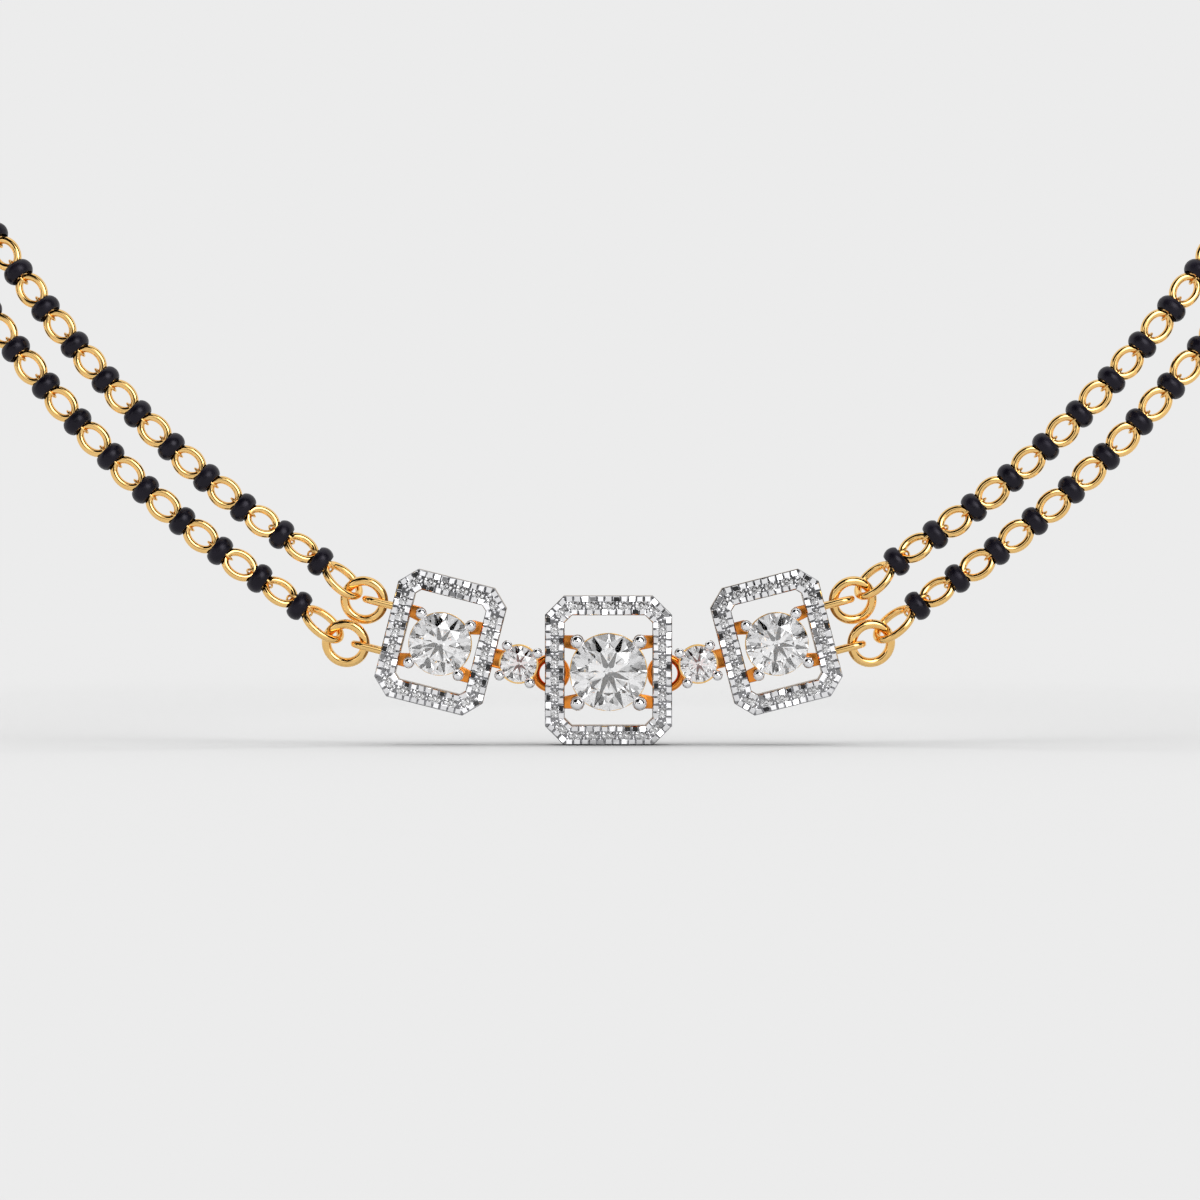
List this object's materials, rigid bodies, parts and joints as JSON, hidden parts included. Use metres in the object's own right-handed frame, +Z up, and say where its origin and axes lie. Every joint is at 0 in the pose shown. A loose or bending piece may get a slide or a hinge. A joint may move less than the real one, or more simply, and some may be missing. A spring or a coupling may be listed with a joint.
{
  "type": "mangalsutra necklace",
  "caption": "Mangalsutra: diamond halo pendants joined side by side, hung from paired strands of gold oval links and black beads, as worn round a neck.",
  "frame": {"origin": "middle of the clasp's side that lies on the nape of the neck", "axes": "+X to the viewer's right, across the necklace; +Y from the pendant to the clasp, so the pendant faces -Y; +Z up"},
  "size_m": [0.137, 0.1215, 0.0871],
  "materials": {
    "white_gold": "polished rhodium plate on gold, yellow gold behind the face",
    "gold": "polished yellow gold",
    "diamond": "cut and polished, clear",
    "black_bead": "polished, glossy"
  },
  "bodies": {
    "root": {"centre_frame": "white_gold", "left_frame": "white_gold", "right_frame": "white_gold", "centre_stone": "diamond", "left_stone": "diamond", "right_stone": "diamond", "left_accent_stone": "diamond", "right_accent_stone": "diamond", "centre_pave": "diamond", "left_pave": "diamond", "right_pave": "diamond", "left_upper_ring": "gold", "left_lower_ring": "gold", "right_upper_ring": "gold", "right_lower_ring": "gold", "left_upper_chain": "gold", "left_lower_chain": "gold", "right_upper_chain": "gold", "right_lower_chain": "gold", "left_upper_beads": "black_bead", "left_lower_beads": "black_bead", "right_upper_beads": "black_bead", "right_lower_beads": "black_bead", "left_upper_tail": "gold", "left_lower_tail": "gold", "right_upper_tail": "gold", "right_lower_tail": "gold", "left_end_ring": "gold", "right_end_ring": "gold", "clasp": "gold"}
  },
  "joints": []
}
